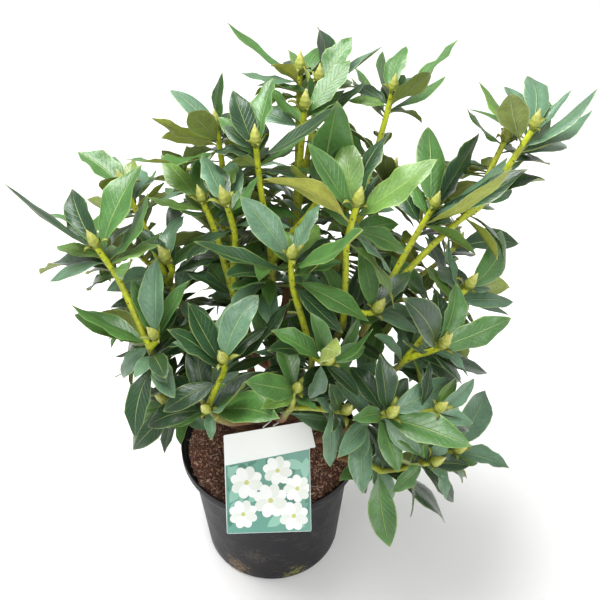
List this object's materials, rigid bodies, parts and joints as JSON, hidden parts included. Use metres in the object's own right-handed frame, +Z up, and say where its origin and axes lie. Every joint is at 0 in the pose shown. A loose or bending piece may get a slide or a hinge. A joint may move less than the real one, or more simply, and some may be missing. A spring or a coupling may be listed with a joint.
{
  "type": "potted rhododendron",
  "caption": "Young evergreen rhododendron with budded whorls of leathery leaves on several stems, standing in a round black nursery pot with a hang-on picture label.",
  "frame": {"origin": "middle of the pot's flat underside", "axes": "+Z up out of the pot; +X to the right and -Y towards the viewer who faces the label"},
  "size_m": [0.5943, 0.4213, 0.6698],
  "materials": {
    "pot_plastic": "satin",
    "compost": "granular, moist",
    "label_print": "printed, semi-gloss",
    "label_strap": "smooth",
    "old_bark": "rough bark",
    "foliage": "leathery leaves"
  },
  "bodies": {
    "root": {"pot": "pot_plastic", "compost": "compost", "label_card": "label_print", "label_strap": "label_strap", "main_stem": "old_bark", "bough_centre": "old_bark", "bough_centre_left": "old_bark", "bough_top": "old_bark", "bough_back_left": "old_bark", "bough_back_right": "old_bark", "bough_centre_right": "old_bark", "bough_centre_front": "old_bark", "bough_right": "old_bark", "bough_right_side": "old_bark", "bough_front_right": "old_bark", "bough_front": "old_bark", "bough_low_right": "old_bark", "bough_front_left": "old_bark", "bough_left": "old_bark", "bough_low_left": "old_bark", "bough_left_back": "old_bark", "bough_left_low": "old_bark", "bough_back": "old_bark", "bough_back_low": "old_bark", "bough_right_back": "old_bark", "foliage_centre": "foliage", "foliage_centre_left": "foliage", "foliage_top": "foliage", "foliage_back_left": "foliage", "foliage_back_right": "foliage", "foliage_centre_right": "foliage", "foliage_centre_front": "foliage", "foliage_right": "foliage", "foliage_right_side": "foliage", "foliage_front_right": "foliage", "foliage_front": "foliage", "foliage_low_right": "foliage", "foliage_front_left": "foliage", "foliage_left": "foliage", "foliage_low_left": "foliage", "foliage_left_back": "foliage", "foliage_left_low": "foliage", "foliage_back": "foliage", "foliage_back_low": "foliage", "foliage_right_back": "foliage"}
  },
  "joints": []
}
